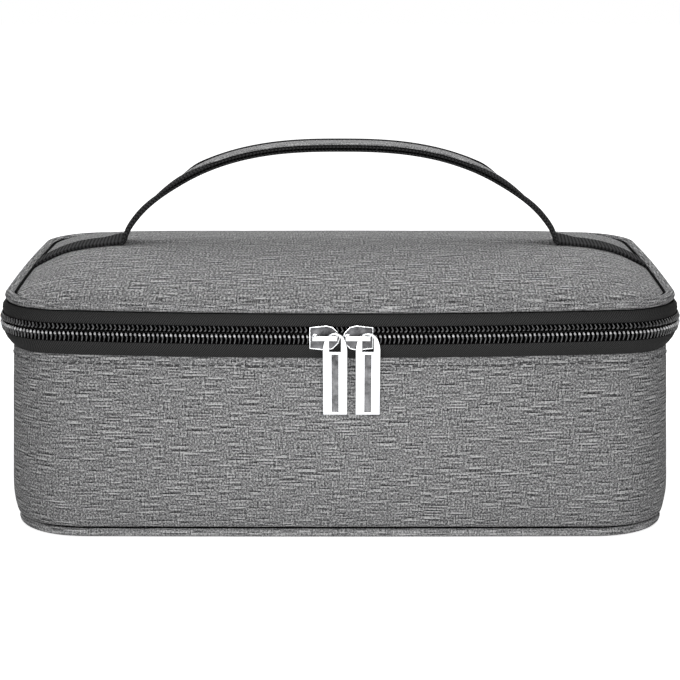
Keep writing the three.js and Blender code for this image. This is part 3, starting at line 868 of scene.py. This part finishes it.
across_back = sorted(place for place in around if place[0] == 7) + [(7, 1.0)]
hinge_way = way_along("hinge_way", [outline_spot(belt_arcs, place, 0) for place in across_back])
hinge_profile = [
    (0.0055, 0.0766), (0.0040, 0.0790), (0.0026, 0.0812), (0.0017, 0.0835), (0.0017, 0.0850),
    (0.0017, 0.0869), (0.0017, 0.0888), (0.0017, 0.0905), (0.0020, 0.0930), (0.0028, 0.0953),
]
hinge = sewn_strip("hinge_cloth", hinge_profile, 0.0010, hinge_way, passes=(9, 11))
bpy.ops.object.shade_smooth_by_angle(angle=math.radians(40))
hinge.data.materials.append(grey_cloth)
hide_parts("hinge_strip")
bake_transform(hinge)


# Cord round the lid
# The same covered cord as at the base, a little thicker, caught in the seam between the lid and the
# upper tape. It stands up round the lid as a soft ridge.

lid_way = way_along("lid_seam", [outline_spot(belt_arcs, place, 0) for place in around], True)


def smooth_step(value, low_end, high_end):
    """0 below the low end, 1 above the high end, and a soft rise between them."""
    share = min(1, max(0, (value - low_end) / (high_end - low_end)))
    return share * share * (3 - 2 * share)


def sag(y):
    """How far the lid sags at a distance behind its middle: a little, towards the back."""
    return 0.0005 * smooth_step(y, 0.0, 0.09)


def let_sag(piece):
    """Lowers a piece of the lid by its sag."""
    for vertex in piece.data.vertices:
        vertex.co.z -= sag(vertex.co.y)


lid_cord = covered_cord("lid_cord", lid_way, radius=0.0021, inset=0.0046, height=0.09735)
let_sag(lid_cord)
lid_cord.data.materials.append(grey_cloth)
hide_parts("lid_piping")
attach(lid_cord, "lid")

# A narrow near-black strip lies in the bottom of the groove beside the cord, and shows as a dark
# line: painted shade
lid_groove_shade_strip = sewn_strip("lid_seam_tape", [(0.0060, 0.0983), (0.0076, 0.0983)], 0.0003, lid_way)
let_sag(lid_groove_shade_strip)
lid_groove_shade_strip.data.materials.append(groove_shade_black)
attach(lid_groove_shade_strip, "lid")


# Lid
# One rounded piece of the padded grey cloth, sewn down along the cord. The foam pushes it up into a
# low dome with soft edges, and its edge tucks down behind the cord.

lid_inset = 0.0069
lid_edge = 0.0986
lid_rise = 0.0098
# The handle is tacked down on the lid at this distance to both sides, a little behind the middle
tack_x = 0.097
tack_y = 0.005


def dome(x, y, share):
    """Height of the lid over a point that is this share of the way from its middle to its edge:
    level along its length, arched from front to back, and rounded down at the ends and corners."""
    along = 1 - min(1, abs(x) / (BELT[0] - lid_inset)) ** 9
    across = 1 - min(1, abs(y) / (BELT[1] - lid_inset)) ** 2.2
    rim = 1 - min(1, share) ** 24
    return lid_edge + lid_rise * along * across * rim - sag(y)


def ray_to_outline(arcs, inset):
    """The outline as angle and distance from the middle, for looking up how far the edge is."""
    table = []
    for place in stations(0.0008):
        x, y = outline_spot(arcs, place, inset)
        table.append((math.atan2(y, x), math.hypot(x, y)))
    table.sort()
    return table


def edge_distance(table, angle):
    """Distance from the middle to the edge, in one direction."""
    if angle <= table[0][0] or angle >= table[-1][0]:
        return table[0][1]
    above = bisect.bisect(table, (angle, math.inf))
    a, b = table[above - 1], table[above]
    return a[1] + (b[1] - a[1]) * (angle - a[0]) / (b[0] - a[0])


def lid_cloth(name, cells, inset, height_at):
    """Cloth over the lid: a square grid pressed out to the lid's rounded outline, with a UV map in
    metres that keeps its weave straight."""
    bpy.ops.mesh.primitive_grid_add(
        x_subdivisions=cells[0], y_subdivisions=cells[1], size=2, calc_uvs=True
    )
    piece = bpy.context.object
    piece.name = name
    table = ray_to_outline(belt_arcs, inset)
    reach_x, reach_y = BELT[0] - inset, BELT[1] - inset
    for vertex in piece.data.vertices:
        s, t = vertex.co.x, vertex.co.y
        share = max(abs(s), abs(t))
        if share < 1e-9:
            vertex.co = (0, 0, height_at(0, 0, 0))
            continue
        # The grid's square corners are drawn in along the outline, which is rounder than they are
        angle = math.atan2(t * reach_y, s * reach_x)
        reach = edge_distance(table, angle)
        x, y = share * reach * math.cos(angle), share * reach * math.sin(angle)
        vertex.co = (x, y, height_at(x, y, share))
    write_uv(piece, lambda point: point.co.xy)
    return piece


lid_table = ray_to_outline(belt_arcs, lid_inset)
lid = lid_cloth("lid_cloth", (110, 74), lid_inset, dome)


def held_down(p):
    """True for the lid's points in its seam and under the handle's webbing."""
    return p.z < lid_edge + 0.0002 or (abs(p.x) > tack_x - 0.003 and abs(p.y - tack_y) < 0.011)


swell(lid, held_down, growth=0.006, most_out=0.0002, most_in=0.0005)
# The seam pulls the edge of the cloth down into the groove beside the cord
for vertex in lid.data.vertices:
    p = vertex.co
    rim = edge_distance(lid_table, math.atan2(p.y, p.x))
    from_rim = rim - math.hypot(p.x, p.y)
    p.z -= 0.0011 * math.exp(-from_rim / 0.0013)
    # and the handle's tacks draw a short crease on their inner side
    inner, crease_end = abs(p.x), 0.060
    if crease_end < inner < tack_x:
        near = (inner - crease_end) / (tack_x - crease_end)
        crease = math.exp(-(((p.y - 0.002) / 0.0032) ** 2)) * near
        p.z -= 0.0012 * crease * smooth_step(tack_x - inner, 0.0, 0.003)
only(lid)
bpy.ops.object.mode_set(mode="EDIT")
pick(lid, "EDGE", lambda edge: edge.is_boundary)
draw_out(0, 0, -0.0006)
bpy.ops.transform.resize(value=(1.002, 1.003, 1))
draw_out(0, 0, -0.0016)
bpy.ops.transform.resize(value=(1.001, 1.0015, 1))
bpy.ops.object.mode_set(mode="OBJECT")
write_uv(lid, lambda point: point.co.xy)
smooth_cloth(lid)
thicken(lid, 0.0008)
bpy.ops.object.shade_smooth()
lid.data.materials.append(lid_grey_cloth)
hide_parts("lid_panel")
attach(lid, "lid")


# Handle anchors
# Black polypropylene webbing 19 mm wide, laid flat on the lid from the side seams and tacked down
# where the handle rises.

webbing = woven_black(
    "black_polypropylene_webbing", "020202", "545455", 1.6, math.radians(2), 0.00032, 0.8
)


def face_upward(piece):
    """Turns the faces of an open sheet so that they look up."""
    only(piece)
    bpy.ops.object.mode_set(mode="EDIT")
    pick(piece, "FACE", lambda face: face.normal.z < 0)
    bpy.ops.mesh.flip_normals()
    bpy.ops.object.mode_set(mode="OBJECT")


def lid_height(x, y):
    """Height of the lid's cloth over a point."""
    return dome(x, y, math.hypot(x, y) / edge_distance(lid_table, math.atan2(y, x)))


def ease_edges(piece, width, segments, least_angle=30):
    """Rounds the edges that are sharper than an angle in degrees."""
    eased = piece.modifiers.new("eased_edges", "BEVEL")
    eased.width = width
    eased.segments = segments
    eased.limit_method = "ANGLE"
    eased.angle_limit = math.radians(least_angle)
    apply_modifiers(piece)


for name, node, side in [
    ("anchor_left", "handle_anchor_left", -1),
    ("anchor_right", "handle_anchor_right", 1),
]:
    outer, inner, width = 0.1366, 0.0958, 0.019
    bpy.ops.mesh.primitive_grid_add(x_subdivisions=48, y_subdivisions=24, size=1, calc_uvs=True)
    strap = bpy.context.object
    strap.name = name
    for vertex in strap.data.vertices:
        along, across = vertex.co.x + 0.5, vertex.co.y
        x = side * (outer + (inner - outer) * along)
        # The outer end dives into the seam beside the cord
        dive = 0.0014 * max(0, 1 - along / 0.10) ** 2
        # The inner end is drawn together and up into the handle
        lift = (0.0010 + 0.0016 * across) * smooth_step(along, 0.70, 1.0)
        y = tack_y + width * across * (1 - 0.12 * smooth_step(along, 0.80, 1.0))
        vertex.co = (x, y, lid_height(x, y) + 0.0003 - dive + lift)
    write_uv(strap, lambda point: (side * point.co.x, point.co.y))
    face_upward(strap)
    thicken(strap, 0.0013, 1.0)
    face_outward(strap)
    ease_edges(strap, 0.0004, 2)
    bpy.ops.object.shade_smooth_by_angle(angle=math.radians(50))
    strap.data.materials.append(webbing)
    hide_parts(node)
    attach(strap, "lid")


# Handle
# The same webbing, narrowed and folded double along the middle of the arch, and bound over by a
# pointed strip of the grey cloth that makes the grip. Below the fold it runs single to the tacks.

handle_foot = lid_height(tack_x, tack_y) + 0.0003
handle_rise = 0.0426


def arch_spot(t):
    """A point of the arch, at a share from -1 (left tack) to 1 (right tack) of its half span."""
    lift = (1 - abs(t) ** 2.6) ** (1 / 1.35)
    return Vector((tack_x * t, tack_y, handle_foot + handle_rise * lift))


arch_points = [arch_spot(-math.cos(math.pi * k / 400)) for k in range(401)]
arch_way = way_along("arch", [tuple(p) for p in arch_points])
arch_length = arch_way[1]


def run_to(x):
    """Length along the arch from its left foot to the point over x."""
    total = 0.0
    for a, b in zip(arch_points, arch_points[1:]):
        if b.x >= x:
            return total + (b - a).length * (x - a.x) / (b.x - a.x)
        total += (b - a).length
    return total


def rounded_bar(name, start, end, widths, depths, offset, cells=(13, 15)):
    """A straight bar from start to end along X, whose width, thickness and height follow functions
    of the length, with rounded long edges. It is then bent along the arch."""
    bpy.ops.mesh.primitive_cube_add(size=1)
    piece = bpy.context.object
    piece.name = name
    edit_all(piece)
    bpy.ops.transform.resize(value=(end - start, 1, 1))
    bpy.ops.transform.translate(value=((start + end) / 2, 0, 0))
    pick(piece, "EDGE", lengthwise)
    bpy.ops.mesh.bevel(offset=0.3, segments=3, affect="EDGES")
    bpy.ops.object.mode_set(mode="OBJECT")
    cut_lengthwise(piece, cells)
    mesh = piece.data
    for vertex in mesh.vertices:
        x = vertex.co.x
        vertex.co.y *= widths(x)
        vertex.co.z = vertex.co.z * depths(x) + offset(x)
    layer = mesh.uv_layers.active
    for face in mesh.polygons:
        for index in face.loop_indices:
            spot = mesh.vertices[mesh.loops[index].vertex_index].co
            around_it = spot.y if abs(face.normal.z) > 0.7 else spot.z + 0.01
            layer.data[index].uv = (spot.x, around_it)
    bend(piece, arch_way)
    bpy.ops.object.shade_smooth_by_angle(angle=math.radians(50))
    return piece


tail_run = run_to(-0.0898)
grip_run = run_to(-0.070)


def rise(x, start, end):
    """A soft rise from 0 to 1 between two lengths from the nearer foot of the arch."""
    return smooth_step(min(x, arch_length - x), start, end)


def fold(x):
    """How far the webbing is folded at a length along the arch: 0 single, 1 double."""
    return rise(x, tail_run, grip_run)


strap = rounded_bar(
    "handle_strap", tail_run - 0.0003, arch_length - tail_run + 0.0003,
    lambda x: 0.0115 + 0.0015 * fold(x),
    lambda x: 0.0026 - 0.0011 * fold(x),
    lambda x: 0.0005 - 0.0013 * fold(x),
)
strap.data.materials.append(webbing)
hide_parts("handle_webbing")
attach(strap, "handle")

fold_over = rounded_bar(
    "handle_fold_over", tail_run + 0.003, arch_length - tail_run - 0.003,
    lambda x: 0.0108 + 0.0024 * fold(x),
    lambda x: 0.0004 + 0.0013 * fold(x),
    lambda x: 0.0004 + 0.0005 * fold(x),
)


def rolled(x):
    """How far the fold's far edge stands up behind the grip, where it shows as a thin dark line."""
    return rise(x, grip_run - 0.008, grip_run + 0.010)


far_edge = rounded_bar(
    "far_edge", grip_run - 0.008, arch_length - grip_run + 0.008,
    lambda x: 0.0014,
    lambda x: 0.0004 + 0.0020 * rolled(x),
    lambda x: 0.0002 + 0.0016 * rolled(x),
)
for vertex in far_edge.data.vertices:
    vertex.co.y += 0.0070
only(fold_over)
far_edge.select_set(True)
bpy.ops.object.join()
bpy.ops.object.shade_smooth_by_angle(angle=math.radians(50))
fold_over.data.materials.append(webbing)
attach(fold_over, "handle")

grip = rounded_bar(
    "grip_cloth", grip_run, arch_length - grip_run,
    lambda x: 0.0014 + 0.0122 * rise(x, grip_run - 0.004, grip_run + 0.020),
    lambda x: 0.0002 + 0.0008 * rise(x, grip_run, grip_run + 0.010),
    lambda x: 0.0003 + 0.0018 * rise(x, tail_run, grip_run + 0.006),
)
# The grip takes the paler copy of the cloth: painted light
grip.data.materials.append(painted_light_pale_cloth)
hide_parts("handle_grip")
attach(grip, "handle")

for name, node, side, first in [
    ("strap_tail_left", "handle_tail_left", -1, 0.0),
    ("strap_tail_right", "handle_tail_right", 1, arch_length - tail_run),
]:
    tail = rounded_bar(
        name, first, first + tail_run,
        lambda x: 0.019 - 0.0075 * rise(x, 0.0, tail_run),
        lambda x: 0.0018 + 0.0008 * rise(x, 0.0, tail_run * 0.6),
        lambda x: 0.0005 * rise(x, 0.0, tail_run * 0.6),
        cells=(5, 3),
    )
    tail.data.materials.append(webbing)
    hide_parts(node)
    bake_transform(tail)


# Sliders and pulls
# Die-cast zinc, bright chrome plated. Each slider is a waisted plate with a raised rim and a bridge
# across it, and a flat grooved pull hangs with its eye round one foot of the bridge.

# Chrome plate is mirror bright, with fine wear in its gloss. Ambient occlusion darkens its corners
# and the gaps between parts: painted shade
chrome, tree, shader = start_material("chrome_plated_zinc")
shader.inputs["Metallic"].default_value = 1.0
place = add_node(tree, "TexCoord").outputs["Object"]
wear = add_node(tree, "TexNoise", Scale=350.0, Detail=4.0, Roughness=0.6, Vector=place)
tint = add_node(tree, "ValToRGB", wear, stops=[(0, "e4e6e8"), (1, "f7f8f9")])
corners = add_node(tree, "AmbientOcclusion", Distance=0.0011, samples=8).outputs["AO"]
unshaded_share = add_node(tree, "MapRange", From_Min=0.45, From_Max=0.85, Value=corners)
shown = add_node(tree, "Mix", unshaded_share, data_type="RGBA")
painted_shade_end, bright_end = shown.inputs[6], shown.inputs[7]
painted_shade_end.default_value = linear("161617")
tree.links.new(tint.outputs[0], bright_end)
tree.links.new(shown.outputs[2], shader.inputs["Base Color"])
polish = add_node(
    tree, "MapRange", From_Min=0.3, From_Max=0.75, To_Min=0.10, To_Max=0.22, Value=wear
)
tree.links.new(polish.outputs[0], shader.inputs["Roughness"])


def satin_metal(name, dark, light):
    """Nickel plated zinc left as cast: grey and satin, mottled where it has been handled."""
    material, tree, shader = start_material(name)
    shader.inputs["Metallic"].default_value = 1.0
    shader.inputs["Roughness"].default_value = 0.5
    place = add_node(tree, "TexCoord").outputs["Object"]
    mottle = add_node(tree, "TexNoise", Scale=260.0, Detail=5.0, Roughness=0.65, Vector=place)
    tint = add_node(tree, "ValToRGB", mottle, stops=[(0.3, dark), (0.75, light)])
    tree.links.new(tint.outputs[0], shader.inputs["Base Color"])
    return material


sunk_plate = satin_metal("grey_satin_nickel", "29292b", "747476")
sunk_groove = satin_metal("pale_satin_nickel", "3c3c3d", "949496")


def plated_copy(node, name, sunk_finish):
    """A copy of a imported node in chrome, open for editing, with a second finish for what's sunk."""
    metal = copy_of_node(node, name)
    metal.data.materials.append(chrome)
    metal.data.materials.append(sunk_finish)
    bpy.ops.object.mode_set(mode="EDIT")
    return metal


def finish_plated(metal, width, segments):
    """Gives the picked faces the sunk finish, and eases the edges of the casting."""
    metal.active_material_index = 1
    bpy.ops.object.material_slot_assign()
    bpy.ops.object.mode_set(mode="OBJECT")
    ease_edges(metal, width, segments, least_angle=50)
    bpy.ops.object.shade_smooth_by_angle(angle=math.radians(35))


plate_y = -0.0965  # where the face of a slider's plate lies
for name, node, body in [
    ("slider_left_plated", "slider_left", "left_slider"),
    ("slider_right_plated", "slider_right", "right_slider"),
]:
    metal = plated_copy(node, name, sunk_plate)
    # The plate's face is sunk between a raised rim all round and round the bridge's feet
    pick(
        metal, "FACE",
        lambda f: f.normal.y < -0.95 and abs(f.calc_center_median().y - plate_y) < 0.0003,
    )
    bpy.ops.mesh.inset(thickness=0.00028, depth=0)
    bpy.ops.mesh.inset(thickness=0.00012, depth=-0.00025)
    finish_plated(metal, 0.00015, 2)
    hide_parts(node)
    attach(metal, body)

# A pull hangs 8 degrees off the upright, and its groove is what lies behind its foremost face
pull_face = Vector((0, -math.cos(math.radians(8)), -math.sin(math.radians(8))))
for name, node, body in [
    ("pull_left_plated", "pull_left", "left_pull"),
    ("pull_right_plated", "pull_right", "right_pull"),
]:
    metal = plated_copy(node, name, sunk_groove)
    front = max(v.co.dot(pull_face) for v in metal.data.vertices)
    pick(
        metal, "FACE",
        lambda f: f.normal.dot(pull_face) > 0.98
        and f.calc_center_median().dot(pull_face) < front - 0.0002,
    )
    finish_plated(metal, 0.00022, 3)
    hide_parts(node)
    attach(metal, body)


# Inside
# Silver foil laminated to thin foam lines the walls, the floor and the lid. The seam under the
# zipper and the seam inside the lid are bound with black tape.

# Aluminised film is bright but not a mirror, with small soft creases
foil, tree, shader = start_material("aluminised_foil_lining")
shader.inputs["Metallic"].default_value = 0.85
place = add_node(tree, "TexCoord").outputs["Object"]
creases = add_node(
    tree, "TexNoise", Scale=130.0, Detail=5.0, Roughness=0.65, Distortion=0.8, Vector=place
)
tint = add_node(tree, "ValToRGB", creases, stops=[(0, "a9adb1"), (1, "dcdfe2")])
tree.links.new(tint.outputs[0], shader.inputs["Base Color"])
gloss = add_node(tree, "MapRange", To_Min=0.28, To_Max=0.5, Value=creases)
tree.links.new(gloss.outputs[0], shader.inputs["Roughness"])
bump = add_node(tree, "Bump", Strength=0.5, Distance=0.0006, Height=creases)
tree.links.new(bump.outputs[0], shader.inputs["Normal"])


def crumple(piece, amount, scale):
    """Small soft creases in the foil."""
    for vertex in piece.data.vertices:
        vertex.co += vertex.normal * amount * noise.noise(vertex.co * scale)


foil_foot, foil_top = 0.0066, 0.0814
rows = [foil_foot + (foil_top - foil_foot) * k / 24 for k in range(25)]
foil_walls = wall_cloth("foil_walls", 0.004, rows, [0.00645] * 25)
crumple(foil_walls, 0.0003, scale=60)
thicken(foil_walls, 0.0005)
bpy.ops.object.shade_smooth_by_angle(angle=math.radians(50))
foil_walls.data.materials.append(foil)
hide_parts("body_lining")
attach(foil_walls, "bag")

foil_floor = copy_of_node("lining_floor", "foil_floor")
foil_floor.data.materials.append(foil)
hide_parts("lining_floor")
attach(foil_floor, "bag")

foam_depth = 0.0060
lid_foil = lid_cloth(
    "lid_foil", (72, 48), 0.0079, lambda x, y, share: dome(x, y, share) - foam_depth
)
crumple(lid_foil, 0.0004, scale=55)
thicken(lid_foil, 0.0005, 0.0)
face_outward(lid_foil)
bpy.ops.object.shade_smooth_by_angle(angle=math.radians(50))
lid_foil.data.materials.append(foil)
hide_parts("lid_lining", "lid_foam")
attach(lid_foil, "lid")

# Black tape is folded round both seams. Its profile is a box, from one inset and height to another,
# with its corners cut off
for name, node, near, far, low, high, across, up, body in [
    ("inner_binding", "body_binding", 0.00665, 0.01325, 0.08175, 0.08375, 0.00055, 0.00025, "bag"),
    ("lid_seam_binding", "lid_binding", 0.0041, 0.0057, 0.0918, 0.0949, 0.0003, 0.0003, "lid"),
]:
    profile = [
        (near, low + up), (near, high - up), (near + across, high), (far - across, high),
        (far, high - up), (far, low + up), (far - across, low), (near + across, low),
    ]
    binding = sewn_strip(name, profile, None, lid_way)
    bpy.ops.object.shade_smooth_by_angle(angle=math.radians(50))
    binding.data.materials.append(tape_twill)
    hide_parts(node)
    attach(binding, body)

# The lines that the stock was bent along have done their work
for line in [thing for thing in bpy.data.objects if thing.type == "CURVE"]:
    bpy.data.objects.remove(line)
